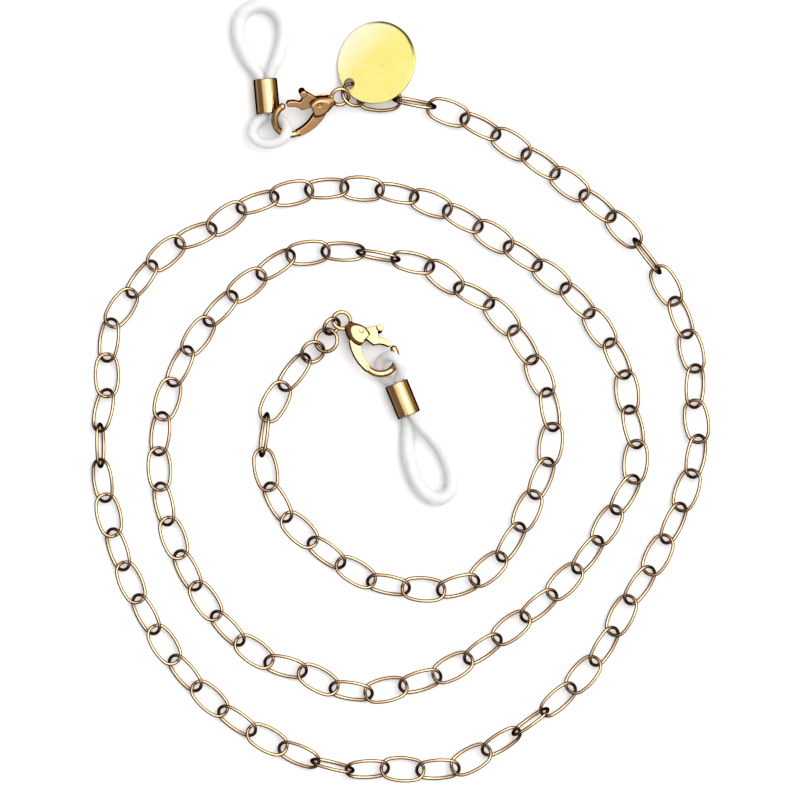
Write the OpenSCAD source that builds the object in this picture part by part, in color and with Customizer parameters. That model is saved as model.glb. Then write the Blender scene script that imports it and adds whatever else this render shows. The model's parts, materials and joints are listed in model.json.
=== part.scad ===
// Eyeglasses chain strap, lying coiled on a table.
// An oval cable chain winds clockwise inward from end A, at the far side, to end B, inside the coil.
// Each end has jump rings, a lobster clasp, and a silicone temple loop held by a sliding ferrule.
// The origin is on the table under the middle of the strap, X to the right, Y away, Z up.

/* [Chain] */
// Diameter of the wire of a link
wire_d = 0.5; // [0.4:0.05:0.6]
// Length of a link over its ends
link_l = 6.9; // [6.8:0.05:7]
// Width of a link over its sides
link_w = 4.2; // [4.1:0.05:4.3]
// Radius of the wire's centre line round a link's end
link_end_r = 1.65; // [1.5:0.05:1.7]
// Distance from one crossing of two links to the next
link_pitch = 5.31; // [5.28:0.01:5.34]
// How far the even links roll about the chain's line
even_roll = 24; // [22:1:28]
// How far the odd links roll about the chain's line, the other way
odd_roll = -43; // [-46:1:-41]
// Roll of the links that stand on edge
edge_roll = 76; // [72:1:80]
// Height of the crossings over the table
chain_z = 1.6; // [1.6:0.05:1.7]
// Extra height of the crossings at a link on edge
edge_lift = 0.5; // [0.4:0.05:0.6]

/* [Rings and tag] */
// Diameter of the wire of the jump rings
ring_wire_d = 0.55; // [0.45:0.05:0.55]
// Cut in a jump ring, in degrees round it
ring_cut = 3; // [1:1:5]
// Diameter of the disc tag
tag_d = 12.6; // [11:0.2:12.6]
// Thickness of the disc tag
tag_t = 0.5; // [0.3:0.05:0.5]
// Diameter of the hole in the disc tag
tag_hole_d = 1.8; // [1.7:0.05:1.9]

/* [Clasps] */
// Radius of the clasp's body at its widest
body_r = 1.6; // [1.5:0.05:1.65]
// Thickness of the clasp's body across its flat sides
body_t = 2.3; // [2.1:0.1:2.4]
// Diameter of the hook's wire round its far end
hook_d = 1; // [0.8:0.05:1]
// Thickness of the trigger in the body's slot
trigger_t = 0.85; // [0.7:0.05:0.9]
// Diameter of the trigger's pin
pin_d = 0.55; // [0.45:0.05:0.55]

/* [Temple loops] */
// Diameter of the silicone cord in the temple loop
cord_d = 2.1; // [1.9:0.1:2.2]
// Outside diameter of the ferrule
ferrule_d = 3.6; // [3.5:0.05:3.8]
// Length of the ferrule
ferrule_l = 5.2; // [4.8:0.1:5.4]

/* [Hidden] */
// Flats round a whole turn: of pins and bores, of wire, and of arcs and the tag
$fn = 48;
wire_fn = 36;
arc_fn = 96;
gold = [0.86, 0.68, 0.52];
deep_gold = [0.80, 0.60, 0.38];
pale_gold = [0.98, 0.93, 0.66];
silicone = [0.90, 0.90, 0.89, 0.8];

// ---- the chain's line ----
// Links in one piece, and pieces in the chain
group_links = 3;
group_count = 40;
link_count = group_links * group_count;
// Middle of the coil from the origin
coil_x = -0.11;
coil_y = -5.98;
// Distance of the chain from the coil's middle, every 30 degrees clockwise from 120 degrees
coil_step = 30;
coil_r = [51, 49.5, 45, 45.5, 45, 43, 47, 51.5, 50, 46.5, 45, 45,
          40, 35.5, 32, 33.5, 35.5, 34, 34, 38.5, 40, 38, 36, 33,
          30, 25.5, 23.5, 22.5, 23, 22.5, 25, 24, 21.5, 21.5, 20.5, 18,
          18, 18];
// Where the chain kinks off that line: degrees turned, offset outward, half width in degrees
kinks = [[85, -0.9, 8], [129, -0.8, 8], [170, 0.9, 8], [182, -0.8, 8], [277, -0.7, 6],
         [290, 0.9, 8], [316, -1.2, 7], [446, -0.9, 8], [461, 0.8, 11], [549, 0.8, 10],
         [561, -1, 7], [691, 1, 9], [735, 1.5, 7], [742, -0.8, 6], [879, 0.6, 9], [902, -0.7, 9]];
// Degrees turned at the outer end of the chain
chain_start = -6.6;
// Links standing on edge
edge_links = [1, 9, 24, 30, 42, 96, 117];
// Links vary in roll by this much, in a wave that moves on by roll_wave degrees a link
roll_wander = 3;
roll_wave = 97;

function clamp(v, low, high) = max(low, min(high, v));
function smooth_step(u) = let (v = clamp(u, 0, 1)) v * v * (3 - 2 * v);
function total(list, i = 0) = i < len(list) ? list[i] + total(list, i + 1) : 0;
function unit(v) = v / norm(v);

// Smooth value at place t of a list, by Catmull-Rom
function smooth_at(list, t) =
    let (i = clamp(floor(t), 0, len(list) - 2),
         u = t - i,
         p0 = list[max(i - 1, 0)],
         p1 = list[i],
         p2 = list[i + 1],
         p3 = list[min(i + 2, len(list) - 1)])
    (2 * p1 + (p2 - p0) * u + (2 * p0 - 5 * p1 + 4 * p2 - p3) * u * u
     + (3 * p1 - p0 - 3 * p2 + p3) * u * u * u) / 2;

function bump(u) = abs(u) < 1 ? (1 + cos(180 * u)) / 2 : 0;
function kink_at(turned) = total([for (k = kinks) k[1] * bump((turned - k[0]) / k[2])]);
function coil_point(turned) =
    let (r = smooth_at(coil_r, turned / coil_step + 1) + kink_at(turned))
    [coil_x + r * cos(90 - turned), coil_y + r * sin(90 - turned)];

function is_edge(i) = len([for (e = edge_links) if (e == i) e]) > 0;

// Height of crossing i, raised at both ends of a link on edge
function crossing_z(i) = chain_z + (is_edge(i) || is_edge(i - 1) ? edge_lift : 0);

// Degrees turned at the place that lies d from the place "from", found by halving low to high n times
halvings = 20;
longest_turn = 40;
function turned_at(from, d, low, high, n) =
    n == 0 ? (low + high) / 2 :
    let (mid = (low + high) / 2)
    norm(coil_point(mid) - coil_point(from)) < d
        ? turned_at(from, d, mid, high, n - 1)
        : turned_at(from, d, low, mid, n - 1);

// Distance from crossing i to the next as seen from above
function flat_pitch(i) = sqrt(link_pitch * link_pitch - pow(crossing_z(i + 1) - crossing_z(i), 2));
function next_turned(i, t) = turned_at(t, flat_pitch(i), t, t + longest_turn, halvings);
turned = [for (i = 0, t = chain_start; i <= link_count; t = next_turned(i, t), i = i + 1) t];

// Where links cross: link i runs from crossing i to crossing i + 1
crossings = [for (i = [0:link_count]) [each coil_point(turned[i]), crossing_z(i)]];

function link_roll(i) =
    is_edge(i) ? edge_roll * (i % 2 == 0 ? 1 : -1)
               : (i % 2 == 0 ? even_roll : odd_roll) + roll_wander * sin(i * roll_wave);

// ---- the shape of a link ----
// Middles of its end arcs, and the radius and half angle of its side arcs
link_a = (link_l - wire_d) / 2;
link_b = (link_w - wire_d) / 2;
link_c = link_a - link_end_r;
side_r = (link_c * link_c + link_b * link_b - link_end_r * link_end_r) / (2 * (link_b - link_end_r));
side_half = atan(link_c / (side_r - link_b));
end_half = 90 - side_half;
// Collar over a seam: how much wider than the wire, and how long
collar_t = 0.01;
collar_l = 0.1;

// Wire bent round an arc, middle at the origin, ends at plus and minus half
module wire_arc(r, half, d) {
    rotate([0, 0, -half])
        rotate_extrude(angle = 2 * half, $fn = arc_fn)
            translate([r, 0])
                circle(d = d, $fn = wire_fn);
}

// Four tangent arcs of wire, two ends and two sides, long axis X, and a thin collar over each seam
module link() {
    for (turn = [0, 180])
        rotate([0, 0, turn]) {
            translate([link_c, 0, 0])
                wire_arc(link_end_r, end_half, wire_d);
            translate([0, link_b - side_r, 0])
                rotate([0, 0, 90])
                    wire_arc(side_r, side_half, wire_d);
            for (side = [-1, 1])
                translate([link_c + link_end_r * cos(end_half), side * link_end_r * sin(end_half), 0])
                    rotate([0, 90, side * end_half + 90])
                        cylinder(d = wire_d + collar_t, h = collar_l, center = true, $fn = wire_fn);
        }
}

module chain_link(i) {
    from = crossings[i];
    to = crossings[i + 1];
    along = to - from;
    translate((from + to) / 2)
        rotate([link_roll(i), -asin(along[2] / norm(along)), atan2(along[1], along[0])])
            link();
}

module chain_links(g) {
    color(gold)
        for (i = [g * group_links:(g + 1) * group_links - 1])
            chain_link(i);
}

// ---- places of the end pieces, from the coil's middle: [x, y, z] then angles ----
// Rings and tag: tilt, then the direction they lean towards, then the direction of a ring's cut
end_ring_a_at = [[-6.93, 50.28, 2.23], 31.8, 43, 100];
tag_at = [[-3.53, 55.05, 3.03], 24.5, 157.8];
// The tag's hole: distance from its middle and direction
tag_hole_at = [5.24, 216.4];
chain_ring_b_at = [[-13.09, 11.7, 1.78], 32.3, 304.2, 100];
middle_ring_b_at = [[-11.06, 13.44, 2.04], 17.3, 160, 280];
clasp_ring_b_at = [[-10.26, 15.58, 2.29], 42.8, 318.6, 150];
// Clasps: roll, pitch and heading, at the middle of the tail ring
clasp_a_at = [[-8.99, 49.92, 3], [151.7, -1.7, 202.2]];
clasp_b_at = [[-8.72, 16.44, 1.81], [-17.4, -4.8, -42]];
// Temple loops: heading of the loop's tip, at the middle of the ferrule
loop_a_at = [[-20, 50.05, 1.85], 95.2];
loop_b_at = [[0.4, 4.63, 1.85], -67.8];

module from_coil(at) {
    translate([coil_x + at[0], coil_y + at[1], at[2]])
        children();
}

module lean(tilt, towards) {
    rotate(a = tilt, v = [-sin(towards), cos(towards), 0])
        children();
}

// ---- jump rings and tag ----
// Radius of a ring's centre line
ring_r_a = 1.8;
ring_r_chain = 1.7;
ring_r_middle = 1.7;
ring_r_clasp = 1.3;

// A ring of wire with a cut, at one of the places above
module jump_ring(r, at) {
    color(gold)
        from_coil(at[0])
            lean(at[1], at[2])
                rotate([0, 0, at[3] + 180])
                    wire_arc(r, 180 - ring_cut / 2, ring_wire_d);
}

module end_ring_a() {
    jump_ring(ring_r_a, end_ring_a_at);
}

module chain_ring_b() {
    jump_ring(ring_r_chain, chain_ring_b_at);
}

module middle_ring_b() {
    jump_ring(ring_r_middle, middle_ring_b_at);
}

module clasp_ring_b() {
    jump_ring(ring_r_clasp, clasp_ring_b_at);
}

// Bevel round the tag's edges
tag_rim = 0.12;

module tag_disc() {
    color(pale_gold)
        from_coil(tag_at[0])
            lean(tag_at[1], tag_at[2])
                difference() {
                    rotate_extrude($fn = arc_fn)
                        polygon([[0, -tag_t / 2], [tag_d / 2 - tag_rim, -tag_t / 2],
                                 [tag_d / 2, -tag_t / 2 + tag_rim], [tag_d / 2, tag_t / 2 - tag_rim],
                                 [tag_d / 2 - tag_rim, tag_t / 2], [0, tag_t / 2]]);
                    rotate([0, 0, tag_hole_at[1]])
                        translate([tag_hole_at[0], 0, 0])
                            cylinder(d = tag_hole_d, h = 2 * tag_t, center = true);
                }
}

// ---- tubes along a line of points ----
function direction_at(points, i, closed) =
    let (n = len(points),
         before = points[closed ? (i + n - 1) % n : max(i - 1, 0)],
         after = points[closed ? (i + 1) % n : min(i + 1, n - 1)])
    unit(after - before);

// Round tube with its middle on the points, a radius at each, and "sides" flats round it
module tube(points, radii, sides, closed) {
    n = len(points);
    rings = [for (i = [0:n - 1])
                let (along = direction_at(points, i, closed),
                     across = unit(cross(along, [0, 0, 1])),
                     up = cross(across, along))
                for (k = [0:sides - 1])
                    points[i] + radii[i] * (cos(360 * k / sides) * across + sin(360 * k / sides) * up)];
    walls = [for (i = [0:closed ? n - 1 : n - 2], k = [0:sides - 1])
                let (j = (i + 1) % n, m = (k + 1) % sides)
                [i * sides + k, i * sides + m, j * sides + m, j * sides + k]];
    ends = closed ? [] : [[for (k = [sides - 1:-1:0]) k],
                          [for (k = [0:sides - 1]) (n - 1) * sides + k]];
    polyhedron(points = rings, faces = concat(walls, ends), convexity = 4);
}

// ---- lobster clasp: tail ring at the origin, hook along X, trigger on the Y side ----
tail_r = 1.3;
tail_wire_d = 0.6;
// The body runs from the tail ring to the claw's opening
body_x = 1;
body_l = 3.6;
body_steps = 10;
// Middle and radius of the hook's far arc, and where it starts and ends, in degrees round it
hook_x = 8;
hook_y = -0.35;
hook_r = 2.55;
hook_start = -98;
hook_end = 76;
hook_tip_d = hook_d + 0.1;
// Radius and turn of the flat arm that leads to the hook, and its width at each end
arm_r = 6.2;
arm_turn = 47;
arm_root_w = 1.8;
arm_end_w = hook_d - 0.04;
arm_t = 0.9;
arm_steps = 10;
// Slot for the trigger
slot_t = 1;
slot_x = 1.7;
slot_y = -0.4;
// The trigger turns on a pin
pivot = [3.3, 0.55];
pivot_hole_d = 0.67;
pin_hole_d = 0.62;
gate_d = 0.9;
// The gate carries on the hook's far arc, between these degrees round it
gate_start = 102;
gate_end = 158;
gate_steps = 8;
tip_steps = 8;
// The gate's inner side runs straight on to here, by the pivot
gate_root = [3.5, 0.25];
// Corners of the web by the pivot and on the lever, and its reach round the hook's arc
web_root = [3.12, 0.6];
web_top = [4.72, 2.6];
web_turn = 135;
// The thumb knob is wider than the lever it ends, whose width is gate_d
knob_at = [5, 3];
knob_d = 1.05;
knob_l = 1.7;
heel_at = [2.3, 0.75];
heel_d = 0.7;
// The spring stands in a pocket under the trigger's heel
spring_x = 2.35;
pocket_floor = -0.93;
spring_low = -0.9;
spring_high = 0.3;
spring_r = 0.3;
spring_wire_d = 0.14;
spring_turns = 4;
pocket_d = 0.9;

// Radius of the body at u, 0 at the tail and 1 at the claw: a share of it, then a swell past its widest
tail_share = 0.4;
swell_turn = 130;
function body_radius(u) = body_r * (tail_share + (1 - tail_share) * sin(swell_turn * u));

// Arm: a strip of metal that narrows along an arc, from the claw to the hook
module claw_arm() {
    middle = [hook_x, hook_y - hook_r + arm_r];
    linear_extrude(arm_t, center = true)
        polygon([for (side = [1, -1], k = [0:arm_steps])
                    let (u = side > 0 ? k / arm_steps : 1 - k / arm_steps,
                         a = arm_turn * (1 - u),
                         half = (arm_root_w + (arm_end_w - arm_root_w) * u) / 2)
                    middle - (arm_r + side * half) * [sin(a), cos(a)]]);
}

module clasp_body() {
    color(deep_gold)
        difference() {
            union() {
                wire_arc(tail_r, 180, tail_wire_d);
                intersection() {
                    rotate([0, 90, 0])
                        rotate_extrude()
                            polygon(concat([[0, body_x]],
                                [for (k = [0:body_steps])
                                    [body_radius(k / body_steps), body_x + body_l * k / body_steps]],
                                [[0, body_x + body_l]]));
                    cube([4 * body_l, 4 * body_r, body_t], center = true);
                }
                claw_arm();
                translate([hook_x, hook_y, 0]) {
                    rotate([0, 0, (hook_start + hook_end) / 2])
                        wire_arc(hook_r, (hook_end - hook_start) / 2, hook_d);
                    rotate([0, 0, hook_end])
                        translate([hook_r, 0, 0])
                            sphere(d = hook_tip_d);
                }
            }
            translate([slot_x, slot_y, -slot_t / 2])
                cube([body_l + 1, 3 * body_r, slot_t]);
            translate([spring_x, pocket_floor, 0])
                rotate([-90, 0, 0])
                    cylinder(d = pocket_d, h = body_r);
            translate([pivot[0], pivot[1], 0])
                cylinder(d = pin_hole_d, h = 2 * body_t, center = true);
        }
}

// Flat bar with round ends from p to q
module bar(p, q, d) {
    for (end = [p, q])
        translate(end)
            circle(d = d);
    translate((p + q) / 2)
        rotate(atan2(q[1] - p[1], q[0] - p[0]))
            square([norm(q - p), d], center = true);
}

function hook_point(turn, r) = [hook_x + r * cos(turn), hook_y + r * sin(turn)];

// Gate and web in one outline: the outer side, the web to the pivot, the inner side, and the round tip
module gate() {
    half = gate_d / 2;
    tip = hook_point(gate_start, hook_r);
    polygon(concat(
        [for (k = [0:gate_steps])
            hook_point(gate_start + (web_turn - gate_start) * k / gate_steps, hook_r + half)],
        [web_top, web_root, gate_root],
        [for (k = [0:gate_steps])
            hook_point(gate_end + (gate_start - gate_end) * k / gate_steps, hook_r - half)],
        [for (k = [1:tip_steps - 1])
            let (turn = gate_start + 180 + 180 * k / tip_steps)
            tip + half * [cos(turn), sin(turn)]]));
}

// Gate to the hook's tip, lever to the thumb knob, web between them, and heel over the spring
module clasp_trigger() {
    color(gold)
        difference() {
            union() {
                linear_extrude(trigger_t, center = true) {
                    gate();
                    bar(pivot, knob_at, gate_d);
                    bar(pivot, heel_at, heel_d);
                }
                translate([knob_at[0], knob_at[1], 0])
                    cylinder(d = knob_d, h = knob_l, center = true);
            }
            translate([pivot[0], pivot[1], 0])
                cylinder(d = pivot_hole_d, h = 2 * trigger_t, center = true);
        }
}

module trigger_pin() {
    color(gold)
        translate([pivot[0], pivot[1], 0])
            cylinder(d = pin_d, h = body_t, center = true);
}

spring_steps = 14 * spring_turns;
spring_sides = 8;

module trigger_spring() {
    rise = spring_high - spring_low - spring_wire_d;
    color(deep_gold)
        translate([spring_x, spring_low + spring_wire_d / 2, 0])
            rotate([-90, 0, 0])
                tube([for (k = [0:spring_steps])
                        let (turn = 360 * spring_turns * k / spring_steps)
                        [spring_r * cos(turn), spring_r * sin(turn), rise * k / spring_steps]],
                     [for (k = [0:spring_steps]) spring_wire_d / 2], spring_sides, false);
}

module at_clasp(at) {
    from_coil(at[0])
        rotate(at[1])
            children();
}

// ---- temple loop: one closed silicone cord, pinched by the ferrule at the origin, tip along X ----
strand_y = 0.78;
strand_d = 1.5;
lower_cord_d = 1.5;
ferrule_bore_d = 3.2;
ferrule_chamfer = 0.12;
// The cord runs straight this far past each end of the ferrule, at a part of its distance off the middle
straight_l = 0.55;
neck_x = ferrule_l / 2 + straight_l;
neck_share = 0.4;
// The cord's diameter changes over these lengths towards the tip and the lower end
tip_swell_l = 2.4;
lower_swell_l = 1.2;
// The roll fades over this length towards the tip, and the lower end lifts over this length
roll_fade_l = 6;
lift_l = 3;
loop_steps = 18;
cord_sides = 14;
// [length to the tip, width, length to the lower end, lower width, roll, lift of the lower end]
loop_a = [14.8, 8.6, 8, 6.4, -8.5, 2.2];
loop_b = [17, 7.3, 7.6, 5.55, 42.8, 1.23];
tip_shape = 1.1;
lower_shape = 0.4;

// Half a teardrop from the ferrule's end to the far end and back, round at the far end
function teardrop(length, width, d, shape) =
    let (x1 = length - d / 2,
         widest = 2 * pow((shape + 1) / (shape + 2), (shape + 1) / 2) / sqrt(shape + 2),
         bulge = ((width - d) / 2 - neck_share * strand_y) / widest)
    [for (k = [-loop_steps:loop_steps])
        let (a = 180 * (1 - abs(k) / loop_steps),
             y = strand_y * cos(a / 2) + bulge * sin(a) * pow(sin(a / 2), shape))
        [neck_x + (x1 - neck_x) * (1 - cos(a)) / 2, k < 0 ? y : -y]];

function cord_diameter(x, tip_d) =
    x > 0 ? strand_d + (tip_d - strand_d) * smooth_step((x - neck_x) / tip_swell_l)
          : strand_d + (lower_cord_d - strand_d) * smooth_step((-x - neck_x) / lower_swell_l);

// The cord's flat line rolls about X inside the ferrule and below it, and lies flat towards the tip
function cord_point(p, shape) =
    let (roll = shape[4] * (1 - smooth_step((p[0] - neck_x) / roll_fade_l)))
    [p[0], p[1] * cos(roll), p[1] * sin(roll) + shape[5] * smooth_step((-p[0] - neck_x) / lift_l)];

module temple_loop(shape) {
    tip = teardrop(shape[0], shape[1], cord_d, tip_shape);
    lower = teardrop(shape[2], shape[3], lower_cord_d, lower_shape);
    line = concat(tip, [for (p = lower) [-p[0], -p[1]]]);
    color(silicone)
        tube([for (p = line) cord_point(p, shape)],
             [for (p = line) cord_diameter(p[0], cord_d) / 2], cord_sides, true);
}

module ferrule() {
    mouth = ferrule_l / 2;
    shoulder = ferrule_d / 2 - ferrule_chamfer;
    color(deep_gold)
        rotate([0, 90, 0])
            rotate_extrude()
                polygon([[ferrule_bore_d / 2, -mouth], [shoulder, -mouth],
                         [ferrule_d / 2, ferrule_chamfer - mouth], [ferrule_d / 2, mouth - ferrule_chamfer],
                         [shoulder, mouth], [ferrule_bore_d / 2, mouth]]);
}

module at_loop(at) {
    from_coil(at[0])
        rotate([0, 0, at[1]])
            children();
}

module clasp_body_a() {
    at_clasp(clasp_a_at)
        clasp_body();
}

module clasp_trigger_a() {
    at_clasp(clasp_a_at)
        clasp_trigger();
}

module trigger_pin_a() {
    at_clasp(clasp_a_at)
        trigger_pin();
}

module trigger_spring_a() {
    at_clasp(clasp_a_at)
        trigger_spring();
}

module temple_loop_a() {
    at_loop(loop_a_at)
        temple_loop(loop_a);
}

module ferrule_a() {
    at_loop(loop_a_at)
        ferrule();
}

module clasp_body_b() {
    at_clasp(clasp_b_at)
        clasp_body();
}

module clasp_trigger_b() {
    at_clasp(clasp_b_at)
        clasp_trigger();
}

module trigger_pin_b() {
    at_clasp(clasp_b_at)
        trigger_pin();
}

module trigger_spring_b() {
    at_clasp(clasp_b_at)
        trigger_spring();
}

module temple_loop_b() {
    at_loop(loop_b_at)
        temple_loop(loop_b);
}

module ferrule_b() {
    at_loop(loop_b_at)
        ferrule();
}

// ---- the strap ----
function links_name(g) = str("chain_links_", g < 9 ? "0" : "", g + 1);

for (g = [0:group_count - 1])
    chain_links(g);
end_ring_a();
tag_disc();
clasp_body_a();
clasp_trigger_a();
trigger_pin_a();
trigger_spring_a();
temple_loop_a();
ferrule_a();
chain_ring_b();
middle_ring_b();
clasp_ring_b();
clasp_body_b();
clasp_trigger_b();
trigger_pin_b();
trigger_spring_b();
temple_loop_b();
ferrule_b();
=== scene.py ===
import json
import math

import bmesh
import bpy
import numpy as np
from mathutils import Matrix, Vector


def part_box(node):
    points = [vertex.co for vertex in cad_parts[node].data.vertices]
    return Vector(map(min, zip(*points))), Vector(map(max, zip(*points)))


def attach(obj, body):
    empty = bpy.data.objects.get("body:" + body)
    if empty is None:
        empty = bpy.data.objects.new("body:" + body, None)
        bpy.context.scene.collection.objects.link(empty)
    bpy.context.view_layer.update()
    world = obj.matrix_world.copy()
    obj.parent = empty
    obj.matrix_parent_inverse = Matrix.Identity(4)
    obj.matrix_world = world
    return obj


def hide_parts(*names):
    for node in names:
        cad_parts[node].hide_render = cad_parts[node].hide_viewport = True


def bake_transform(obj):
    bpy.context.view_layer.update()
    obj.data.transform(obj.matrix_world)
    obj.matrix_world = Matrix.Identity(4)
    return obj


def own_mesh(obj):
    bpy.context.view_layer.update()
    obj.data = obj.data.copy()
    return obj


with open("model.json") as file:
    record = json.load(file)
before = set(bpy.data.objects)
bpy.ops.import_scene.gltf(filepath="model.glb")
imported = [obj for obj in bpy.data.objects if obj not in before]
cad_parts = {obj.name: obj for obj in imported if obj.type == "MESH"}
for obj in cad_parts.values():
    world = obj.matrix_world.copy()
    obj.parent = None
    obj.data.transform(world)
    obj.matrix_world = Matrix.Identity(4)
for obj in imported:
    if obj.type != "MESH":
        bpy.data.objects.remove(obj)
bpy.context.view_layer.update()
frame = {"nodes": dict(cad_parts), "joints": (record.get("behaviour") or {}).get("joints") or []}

MM = 0.001
nodes = frame["nodes"]
joints = {j["name"]: j for j in frame["joints"]}


def add_to_scene(name, data):
    piece = bpy.data.objects.new(name, data)
    bpy.context.scene.collection.objects.link(piece)
    return piece


def box_middle(name):
    low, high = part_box(name)
    return np.array((low + high) / 2)


# ---- small node-graph helpers ----
def set_stops(color_ramp, stops):
    """Gives a colour ramp its stops, each (place, colour) or (place, grey)."""
    elements = color_ramp.elements
    while len(elements) < len(stops):
        elements.new(0.5)
    for element, (place, colour) in zip(elements, stops):
        element.position = place
        if not isinstance(colour, tuple):
            colour = (colour, colour, colour)
        element.color = (*colour, 1.0)


class Graph:
    """The node graph of one material."""

    def __init__(self, name):
        self.material = bpy.data.materials.new(name)
        self.material.use_nodes = True
        self.tree = self.material.node_tree
        self.tree.nodes.clear()
        self.output = self.add("ShaderNodeOutputMaterial")
        self.shader = self.add("ShaderNodeBsdfPrincipled")
        self.link(self.shader.outputs[0], self.output.inputs["Surface"])
        self.place = self.add("ShaderNodeTexCoord").outputs["Object"]

    def add(self, kind, **settings):
        node = self.tree.nodes.new(kind)
        for key, value in settings.items():
            setattr(node, key, value)
        return node

    def link(self, a, b):
        self.tree.links.new(a, b)

    def put(self, value, socket):
        """A number, a colour or another node's output into a socket."""
        if isinstance(value, bpy.types.NodeSocket):
            self.link(value, socket)
        else:
            socket.default_value = value

    def noise(self, feature_mm, detail, roughness=0.55, stretch=None):
        """Noise from 0 to 1 whose features are about feature_mm across."""
        place = self.place
        if stretch:
            scale = self.add("ShaderNodeMapping")
            scale.inputs["Scale"].default_value = stretch
            self.link(place, scale.inputs["Vector"])
            place = scale.outputs[0]
        node = self.add("ShaderNodeTexNoise")
        node.inputs["Scale"].default_value = 1 / (feature_mm * MM)
        node.inputs["Detail"].default_value = detail
        node.inputs["Roughness"].default_value = roughness
        self.link(place, node.inputs["Vector"])
        return node.outputs["Fac"]

    def ramp(self, value, stops):
        node = self.add("ShaderNodeValToRGB")
        self.link(value, node.inputs[0])
        set_stops(node.color_ramp, stops)
        return node.outputs["Color"]

    def scaled(self, value, low, high, to=(0, 1)):
        """The first of to at low, the second at high, and held beyond."""
        node = self.add("ShaderNodeMapRange")
        self.link(value, node.inputs["Value"])
        node.inputs["From Min"].default_value = low
        node.inputs["From Max"].default_value = high
        node.inputs["To Min"].default_value = to[0]
        node.inputs["To Max"].default_value = to[1]
        return node.outputs[0]

    def mix(self, factor, a, b):
        node = self.add("ShaderNodeMix", data_type="RGBA", blend_type="MIX")
        self.put(factor, node.inputs["Factor"])
        self.put(a, node.inputs["A"])
        self.put(b, node.inputs["B"])
        return node.outputs["Result"]

    def combined(self, operation, a, b, result="Vector"):
        """Two vectors put through a vector operation."""
        node = self.add("ShaderNodeVectorMath", operation=operation)
        self.put(a, node.inputs[0])
        self.put(b, node.inputs[1])
        return node.outputs[result]

    def facing(self):
        """0 where the surface faces the eye, 1 where it is seen edge on."""
        node = self.add("ShaderNodeLayerWeight")
        node.inputs["Blend"].default_value = 0.5
        return node.outputs["Facing"]

    def bump(self, height, depth_mm, normal=None):
        node = self.add("ShaderNodeBump")
        node.inputs["Strength"].default_value = 1.0
        node.inputs["Distance"].default_value = depth_mm * MM
        self.link(height, node.inputs["Height"])
        if normal is not None:
            self.link(normal, node.inputs["Normal"])
        return node.outputs["Normal"]

    def set(self, **values):
        for key, value in values.items():
            self.put(value, self.shader.inputs[key.replace("_", " ")])


def rgb(*channels):
    """A colour given as 0 to 255 sRGB, as linear numbers with full alpha."""
    linear = [c / 255 / 12.92 if c <= 10 else ((c / 255 + 0.055) / 1.055) ** 2.4 for c in channels]
    return (*linear, 1.0)


# ---- plating ----
# Sizes of the plating's cloudy patches and dents, and the depth of its wear; the dents are twice as deep
CLOUD_MM = 3.0
DENT_MM = 1.1
WEAR_DEPTH_MM = 0.003
# Share of the deep colour in the cloudy patches
CLOUD_SHARE = 0.3
# Painted shade darkens crevices narrower than this
CREVICE_SHADE_MM = 0.45


def plated(name, face, deep, painted_edge_shade, rough, grain_mm, turn):
    """Polished plating with fine wear. face is its colour seen straight on; the deep colour is its darker
    tone in cloudy patches and the painted shade in crevices; the edge colour is painted shade where it turns
    away from the eye, between turn's two facing values. rough is its least and most roughness."""
    g = Graph(name)
    cloud = g.ramp(g.noise(CLOUD_MM, 4.0), [(0.35, 0.0), (0.7, 1.0)])
    colour = g.mix(cloud, face, g.mix(CLOUD_SHARE, face, deep))
    # Painted shade: the colour darkens to the edge colour where the surface turns away from the eye, standing
    # in for dark surroundings seen in it
    turned = g.ramp(g.facing(), [(turn[0], 0.0), (turn[1], 1.0)])
    colour = g.mix(turned, colour, painted_edge_shade)
    # Painted shade: crevices and crossings between parts darken towards the deep colour
    hollow = g.add("ShaderNodeAmbientOcclusion", samples=6)
    hollow.inputs["Distance"].default_value = CREVICE_SHADE_MM * MM
    painted_crevice_shade = g.ramp(hollow.outputs["AO"], [(0.2, 1.0), (0.75, 0.0)])
    colour = g.mix(painted_crevice_shade, colour, deep)
    wear = g.noise(grain_mm, 5.0, 0.65)
    dents = g.bump(g.noise(DENT_MM, 2.0), 2 * WEAR_DEPTH_MM)
    normal = g.bump(wear, WEAR_DEPTH_MM, dents)
    # The painted edge shade also tints the reflection dark at grazing angles
    g.set(Base_Color=colour, Metallic=1.0, Roughness=g.scaled(wear, 0, 1, rough), Normal=normal,
          Specular_Tint=painted_edge_shade)
    return g.material


chain_metal = plated("chain_plating", face=rgb(226, 184, 140), deep=rgb(118, 78, 46), painted_edge_shade=rgb(66, 43, 26),
                     rough=(0.14, 0.28), grain_mm=0.25, turn=(0.02, 0.28))
ring_metal = plated("ring_plating", face=rgb(230, 188, 140), deep=rgb(118, 78, 44), painted_edge_shade=rgb(70, 46, 26),
                    rough=(0.14, 0.28), grain_mm=0.25, turn=(0.02, 0.32))
clasp_metal = plated("clasp_plating", face=rgb(236, 184, 126), deep=rgb(100, 62, 30), painted_edge_shade=rgb(86, 52, 24),
                     rough=(0.12, 0.24), grain_mm=0.4, turn=(0.06, 0.5))
ferrule_metal = plated("ferrule_plating", face=rgb(222, 180, 122), deep=rgb(86, 58, 24), painted_edge_shade=rgb(70, 46, 18),
                       rough=(0.1, 0.2), grain_mm=0.5, turn=(0.12, 0.5))
spring_metal = plated("spring_wire", face=rgb(190, 184, 174), deep=rgb(90, 84, 76), painted_edge_shade=rgb(70, 64, 58),
                      rough=(0.2, 0.35), grain_mm=0.25, turn=(0.06, 0.42))


# ---- disc tag ----
TAG_D_MM = 12.6
# Painted sheen: a pale reflection grows across this width, towards the direction given below in degrees round
# from +X
SHEEN_WIDTH_MM = 12.0
SHEEN_TURN = 135
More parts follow.
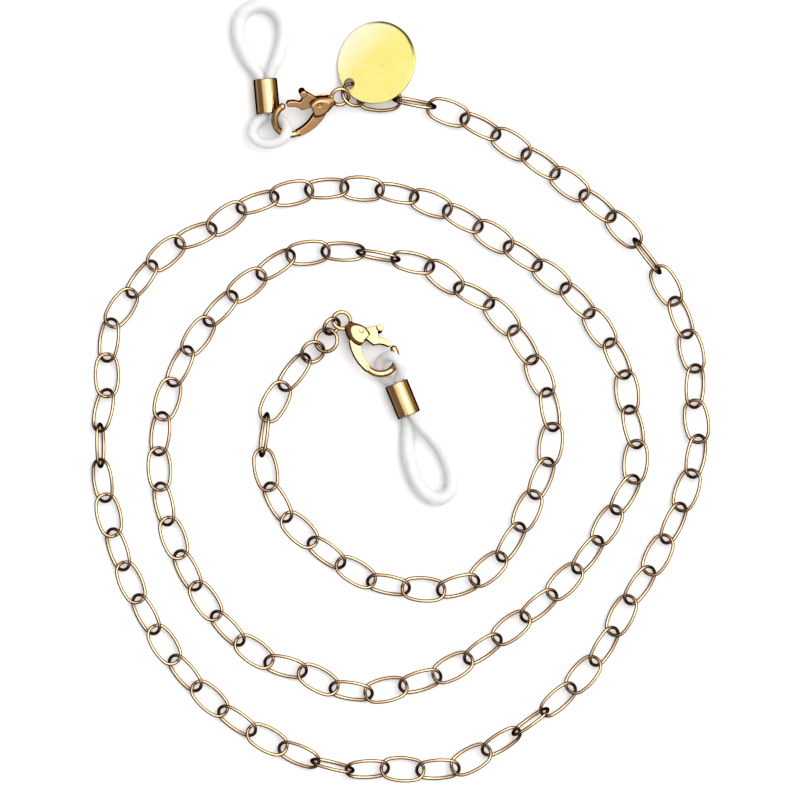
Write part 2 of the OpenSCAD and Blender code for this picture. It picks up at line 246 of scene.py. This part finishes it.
# The brushing runs along X, this much longer than wide
BRUSH_MM = 0.5
BRUSH_STRETCH = (0.12, 1.0, 1.0)
BRUSH_DEPTH_MM = 0.0007
BLOTCH_MM = 4.0
# The rim's dark reflection starts and is full at these shares of the radius
RIM_START = 0.93
RIM_FULL = 0.965
# It lies towards this direction, and starts and is full at these shares of the radius along it
RIM_TOWARD = (0.6, 0.8, 0)
RIM_SIDE_START = 0.55
RIM_SIDE_FULL = 0.85


def brushed_tag(name):
    """Pale yellow plated disc, brushed one way, with a painted pale sheen towards its far left, painted shade
    where it is seen edge on, and a painted dark reflection along its far right rim.
    """
    g = Graph(name)
    middle = Vector(box_middle("tag_disc"))
    across = g.add("ShaderNodeMapping", vector_type="TEXTURE")
    across.inputs["Location"].default_value = middle
    across.inputs["Rotation"].default_value = (0, 0, math.radians(SHEEN_TURN))
    across.inputs["Scale"].default_value = (SHEEN_WIDTH_MM * MM,) * 3
    g.link(g.place, across.inputs["Vector"])
    slope = g.add("ShaderNodeTexGradient")
    g.link(g.combined("ADD", across.outputs[0], (0.5, 0.5, 0.5)), slope.inputs[0])
    blotch = g.ramp(g.noise(BLOTCH_MM, 2.0), [(0.35, 0.0), (0.7, 1.0)])
    colour = g.mix(blotch, rgb(253, 240, 146), rgb(250, 234, 126))
    # Painted sheen: a pale reflection towards the far left
    painted_sheen = g.ramp(slope.outputs["Fac"], [(0.58, 0.0), (0.98, 0.85)])
    colour = g.mix(painted_sheen, colour, rgb(255, 252, 228))
    # Painted shade where the disc is seen edge on
    turned = g.ramp(g.facing(), [(0.16, 0.0), (0.3, 1.0)])
    colour = g.mix(turned, colour, rgb(120, 98, 52))
    radius = TAG_D_MM / 2 * MM
    from_middle = g.combined("SUBTRACT", g.place, middle)
    distance = g.add("ShaderNodeVectorMath", operation="LENGTH")
    g.link(from_middle, distance.inputs[0])
    near_rim = g.scaled(distance.outputs["Value"], RIM_START * radius, RIM_FULL * radius)
    side = g.combined("DOT_PRODUCT", from_middle, RIM_TOWARD, "Value")
    far_right = g.scaled(side, RIM_SIDE_START * radius, RIM_SIDE_FULL * radius)
    rim = g.add("ShaderNodeMath", operation="MULTIPLY")
    g.link(near_rim, rim.inputs[0])
    g.link(far_right, rim.inputs[1])
    colour = g.mix(rim.outputs[0], colour, rgb(74, 62, 44))
    brush = g.noise(BRUSH_MM, 5.0, 0.6, BRUSH_STRETCH)
    roughness = g.ramp(brush, [(0.3, 0.26), (0.75, 0.4)])
    g.set(Base_Color=colour, Metallic=0.25, Roughness=roughness, Normal=g.bump(brush, BRUSH_DEPTH_MM))
    return g.material


tag_metal = brushed_tag("tag_plating")


# ---- silicone ----
SILICONE_CLOUD_MM = 1.6
SILICONE_GRAIN_MM = 0.35
SILICONE_DEPTH_MM = 0.004
# How far light spreads under its skin
SCATTER_MM = 1.6
SCATTER_COLOUR = (1.0, 0.97, 0.93)


def silicone(name):
    """Soft clear-white silicone: cloudy inside, with a slight skin."""
    g = Graph(name)
    cloud = g.noise(SILICONE_CLOUD_MM, 3.0)
    colour = g.ramp(cloud, [(0.3, (0.71, 0.71, 0.705)), (0.75, (0.77, 0.77, 0.765))])
    grain = g.noise(SILICONE_GRAIN_MM, 3.0)
    roughness = g.ramp(grain, [(0.3, 0.34), (0.8, 0.48)])
    g.set(Base_Color=colour, Roughness=roughness, Normal=g.bump(grain, SILICONE_DEPTH_MM), IOR=1.41,
          Transmission_Weight=0.15, Subsurface_Weight=1.0, Subsurface_Scale=SCATTER_MM * MM,
          Specular_IOR_Level=0.3)
    g.shader.inputs["Subsurface Radius"].default_value = SCATTER_COLOUR
    return g.material


cord_silicone = silicone("cord_silicone")


# ---- coats for the CAD nodes ----
def coat(piece, material):
    piece.data.materials.clear()
    piece.data.materials.append(material)


for name, node in nodes.items():
    if name.startswith("chain_links"):
        coat(node, chain_metal)
    elif "_ring_" in name:
        coat(node, ring_metal)
    elif name == "tag_disc":
        coat(node, tag_metal)
    elif "spring" in name:
        coat(node, spring_metal)
    elif name.startswith("ferrule"):
        coat(node, ferrule_metal)
    elif name.startswith("temple"):
        coat(node, cord_silicone)
    else:
        coat(node, clasp_metal)


# ---- meshes ----
def smooth(piece):
    piece.data.polygons.foreach_set("use_smooth", [True] * len(piece.data.polygons))
    piece.data.update()


def unit(v):
    return v / np.linalg.norm(v, axis=-1, keepdims=True)


# ---- silicone temple loops: a cord pinched by the ferrule ----
FERRULE_HALF_MM = 2.6
# The two strands side by side in the ferrule: distance from its middle, and radius
STRAND_Y_MM = 0.78
STRAND_R_MM = 0.75
# Radius of the tip's thicker cord, and the length over which it thickens
CORD_R_MM = 1.05
SWELL_MM = 2.4
# The strands start to part this far outside the ferrule
NECK_MM = 0.55
NECK_X_MM = FERRULE_HALF_MM + NECK_MM
# The two pieces of a cord meet here, inside the ferrule's mouth
MEET_X_MM = 2.0
# Share of a strand's distance from the middle that is left in the outline at a loop's widest place
STRAND_SHARE = 0.4
# How far out the widest place lies: a higher number puts it nearer the far end
TIP_SHAPE = 1.1
LOW_SHAPE = 0.4
# Length of the tip over which the strands' roll dies out, and length over which the lower end rises
UNROLL_MM = 6.0
RISE_MM = 3.0
# Points along half a loop and along the straight strands, and sides of the tube
LOOP_STEPS = 40
STRAIGHT_STEPS = 24
CORD_SIDES = 28
# Parting ridge at both sides of the cord: its height as a share of the radius, and its width as a sine
RIDGE = 0.02
RIDGE_WIDTH = 0.16
# Spacing of a cord's rings, and rounds of evening out, which ease its bend at the ferrule's mouth
RING_MM = 0.2
EASE_ROUNDS = 6
# Length and width of the tip end and of the lower end, roll in degrees, and lift of the lower end
LOOPS = {
    "a": {"tip_mm": (14.8, 8.6), "low_mm": (8.0, 6.4), "roll": -8.5, "lift_mm": 2.2},
    "b": {"tip_mm": (17.0, 7.3), "low_mm": (7.6, 5.55), "roll": 42.8, "lift_mm": 1.23},
}


def smooth_step(u):
    v = np.clip(u, 0, 1)
    return v * v * (3 - 2 * v)


def teardrop(length, width, radius, shape):
    """The cord's line from the ferrule's mouth, round a loop's far end and back, in mm."""
    x1 = length - radius
    widest = 2 * ((shape + 1) / (shape + 2)) ** ((shape + 1) / 2) / math.sqrt(shape + 2)
    bulge = (width / 2 - radius - STRAND_SHARE * STRAND_Y_MM) / widest
    k = np.arange(-LOOP_STEPS, LOOP_STEPS + 1)
    a = math.pi * (1 - np.abs(k) / LOOP_STEPS)
    y = STRAND_Y_MM * np.cos(a / 2) + bulge * np.sin(a) * np.sin(a / 2) ** shape
    return np.c_[NECK_X_MM + (x1 - NECK_X_MM) * (1 - np.cos(a)) / 2, np.where(k < 0, y, -y)]


def eased(line):
    """The line cut into even steps, its sharp bends eased."""
    reach = np.r_[0, np.cumsum(np.linalg.norm(np.diff(line, axis=0), axis=1))]
    stops = np.linspace(0, reach[-1], int(reach[-1] / RING_MM) + 2)
    line = np.stack([np.interp(stops, reach, line[:, k]) for k in range(3)], axis=1)
    for _ in range(EASE_ROUNDS):
        line[1:-1] = (line[:-2] + 2 * line[1:-1] + line[2:]) / 4
    return line


def sweep(line, radii):
    """Points and faces of a cord along a line: a tube with closed ends."""
    count = len(line)
    before = np.vstack([line[:1], line[:-1]])
    after = np.vstack([line[1:], line[-1:]])
    along = unit(after - before)
    across = unit(np.cross(along, (0, 0, 1)))
    up = np.cross(across, along)
    turn = np.linspace(0, 2 * math.pi, CORD_SIDES, endpoint=False)
    swell = 1 + RIDGE * np.exp(-((np.sin(turn) / RIDGE_WIDTH) ** 2))
    ring = np.cos(turn)[:, None] * across[:, None, :] + np.sin(turn)[:, None] * up[:, None, :]
    points = line[:, None, :] + radii[:, None, None] * swell[None, :, None] * ring
    faces = []
    for i in range(count - 1):
        first, second = i * CORD_SIDES, (i + 1) * CORD_SIDES
        for k in range(CORD_SIDES):
            m = (k + 1) % CORD_SIDES
            faces.append((first + k, second + k, second + m, first + m))
    faces.append(tuple(range(CORD_SIDES)))
    faces.append(tuple(reversed(range((count - 1) * CORD_SIDES, count * CORD_SIDES))))
    return points.reshape(-1, 3), faces


def temple_loop(end):
    """A cord in two pieces: the tip, carried with the loop's body, and the rest, drawn out below."""
    loop = LOOPS[end]
    body, ferrule, slide = "temple_loop_%s" % end, "ferrule_%s" % end, "ferrule_%s_slide" % end
    tip = teardrop(*loop["tip_mm"], CORD_R_MM, TIP_SHAPE)
    low = -teardrop(*loop["low_mm"], STRAND_R_MM, LOW_SHAPE)
    mouth = np.array([[MEET_X_MM, STRAND_Y_MM], [FERRULE_HALF_MM, STRAND_Y_MM]])
    tip_line = np.vstack([mouth, tip, mouth[::-1] * (1, -1)])
    straight = np.linspace(-NECK_X_MM, MEET_X_MM, STRAIGHT_STEPS)[:, None]
    side = np.full_like(straight, STRAND_Y_MM)
    low_line = np.vstack([np.hstack([straight[::-1], -side])[:-1], low, np.hstack([straight, side])[1:]])
    heading = Vector(joints[slide]["axis"])
    middle = box_middle(ferrule)
    c, s = heading.x, heading.y

    def piece_along(name, flat):
        x, y = flat[:, 0], flat[:, 1]
        turn = np.radians(loop["roll"] * (1 - smooth_step((x - NECK_X_MM) / UNROLL_MM)))
        rise = loop["lift_mm"] * smooth_step((-x - NECK_X_MM) / RISE_MM)
        line = eased(np.c_[x, y * np.cos(turn), y * np.sin(turn) + rise])
        thicker = smooth_step((line[:, 0] - NECK_X_MM) / SWELL_MM)
        points, faces = sweep(line, STRAND_R_MM + (CORD_R_MM - STRAND_R_MM) * thicker)
        turned = [points[:, 0] * c - points[:, 1] * s, points[:, 0] * s + points[:, 1] * c, points[:, 2]]
        mesh = bpy.data.meshes.new(name)
        mesh.from_pydata([tuple(p) for p in np.stack(turned, axis=1) * MM + middle], [], faces)
        mesh.validate()
        piece = add_to_scene(name, mesh)
        smooth(piece)
        coat(piece, cord_silicone)
        return piece

    def along(x):
        return tuple(middle + np.array((c, s, 0)) * x * MM)

    tip_piece = piece_along("silicone_tip_%s" % end, tip_line)
    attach(tip_piece, body)
    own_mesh(tip_piece)
    low_piece = piece_along("silicone_neck_%s" % end, low_line)
    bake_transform(low_piece)
    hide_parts(body)
    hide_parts(body)


for end in "ab":
    temple_loop(end)


# ---- clasps: the CAD shapes, cast smooth ----
# Corners of neighbouring faces closer than this are one corner
SEAM_MM = 0.001
# Fineness of a casting, and rounds of smoothing
CLAW_VOXEL_MM = 0.07
CLAW_ROUNDS = 6
TRIGGER_VOXEL_MM = 0.06
TRIGGER_ROUNDS = 4


def cast(name, cad, body, voxel_mm, rounds):
    """A copy of a CAD node as one smooth casting."""
    mesh = nodes[cad].data.copy()
    shell = bmesh.new()
    shell.from_mesh(mesh)
    bmesh.ops.remove_doubles(shell, verts=shell.verts, dist=SEAM_MM * MM)
    shell.to_mesh(mesh)
    shell.free()
    piece = add_to_scene(name, mesh)
    remesh = piece.modifiers.new("remesh", "REMESH")
    remesh.mode = "VOXEL"
    remesh.voxel_size = voxel_mm * MM
    soften = piece.modifiers.new("soften", "SMOOTH")
    soften.factor = 0.5
    soften.iterations = rounds
    graph = bpy.context.evaluated_depsgraph_get()
    done = bpy.data.meshes.new_from_object(piece.evaluated_get(graph))
    piece.modifiers.clear()
    piece.data = done
    smooth(piece)
    coat(piece, clasp_metal)
    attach(piece, body)
    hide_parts(cad)


for end in "ab":
    cast("claw_%s" % end, "clasp_body_%s" % end, "clasp_%s" % end, CLAW_VOXEL_MM, CLAW_ROUNDS)
    trigger = "clasp_trigger_%s" % end
    cast("trigger_%s" % end, trigger, trigger, TRIGGER_VOXEL_MM, TRIGGER_ROUNDS)


# ---- trigger springs: the CAD coils, carried with the clasp bodies ----
# Times the coil is cut in half across its axis, which then runs from the lower half's middle to the upper's
AXIS_ROUNDS = 6


def spring(end):
    cad = "trigger_spring_%s" % end
    piece = add_to_scene("spring_%s" % end, nodes[cad].data.copy())
    smooth(piece)
    points = np.array([v.co for v in piece.data.vertices])
    middle = points.mean(0)
    to_pin = box_middle("trigger_pin_%s" % end) - middle
    axis = np.linalg.svd(points - middle, full_matrices=False)[2][0]
    axis = axis * np.sign(axis @ to_pin)
    for _ in range(AXIS_ROUNDS):
        top = (points - middle) @ axis > 0
        axis = unit(points[top].mean(0) - points[~top].mean(0))
    coat(piece, spring_metal)
    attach(piece, "clasp_%s" % end)
    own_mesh(piece)
    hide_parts(cad)


for end in "ab":
    spring(end)


# ---- floor, light and camera ----
FLOOR_HALF_M = 3.0
PAPER_GRAIN_MM = 0.6


def floor():
    half = FLOOR_HALF_M
    mesh = bpy.data.meshes.new("floor")
    corners = [(-half, -half, 0), (half, -half, 0), (half, half, 0), (-half, half, 0)]
    mesh.from_pydata(corners, [], [(0, 1, 2, 3)])
    piece = add_to_scene("floor", mesh)
    g = Graph("floor_paper")
    paper = g.ramp(g.noise(PAPER_GRAIN_MM, 4.0), [(0.0, 0.9), (1.0, 0.93)])
    g.set(Base_Color=paper, Roughness=0.9, Specular_IOR_Level=0.1)
    coat(piece, g.material)


floor()

# A large soft lamp aimed at the middle of the coil
KEY_PLACE_M = (0.5, 0.3, 1.4)
KEY_SIDE_M = 1.2
KEY_WATTS = 14.0


def lamp():
    data = bpy.data.lights.new("key_box", "AREA")
    data.shape = "SQUARE"
    data.size = KEY_SIDE_M
    data.energy = KEY_WATTS
    piece = add_to_scene("key_box", data)
    piece.location = KEY_PLACE_M
    piece.rotation_euler = (-Vector(KEY_PLACE_M)).to_track_quat("-Z", "Y").to_euler()
    piece.visible_camera = False


lamp()

# The tent's brightness by how far a direction leans towards its bright side
TENT_TOWARD = (0.32, 0.16, 0.93)
TENT_STOPS = [(0.0, 0.18), (0.45, 0.1), (0.66, 0.85), (0.82, 1.0)]
TENT_STRENGTH = 1.5


def studio():
    """Soft white tent: bright overhead and to the right, darker low down and to the left."""
    world = bpy.data.worlds.new("studio")
    bpy.context.scene.world = world
    world.use_nodes = True
    tree = world.node_tree
    place = tree.nodes.new("ShaderNodeTexCoord")
    toward = tree.nodes.new("ShaderNodeVectorMath")
    toward.operation = "DOT_PRODUCT"
    toward.inputs[1].default_value = Vector(TENT_TOWARD).normalized()
    tree.links.new(place.outputs["Generated"], toward.inputs[0])
    ramp = tree.nodes.new("ShaderNodeValToRGB")
    set_stops(ramp.color_ramp, TENT_STOPS)
    tree.links.new(toward.outputs["Value"], ramp.inputs[0])
    back = tree.nodes["Background"]
    tree.links.new(ramp.outputs["Color"], back.inputs["Color"])
    back.inputs["Strength"].default_value = TENT_STRENGTH


studio()

# The coil fills the frame, seen from straight above through a long lens
LENS_MM = 360
SENSOR_MM = 36
CAMERA_HEIGHT_M = 1.2
# The picture's middle, at the height of the chain
AIM_MM = (-0.11, -1.48, 1.6)


def camera():
    data = bpy.data.cameras.new("camera")
    data.lens = LENS_MM
    data.sensor_width = SENSOR_MM
    data.clip_start = 0.01
    data.clip_end = 10
    piece = add_to_scene("camera", data)
    piece.location = Vector(AIM_MM) * MM + Vector((0, 0, CAMERA_HEIGHT_M))
    piece.rotation_euler = (0, 0, 0)
    bpy.context.scene.camera = piece


camera()
bpy.context.scene.view_settings.view_transform = "Standard"
bpy.context.scene.view_settings.look = "None"
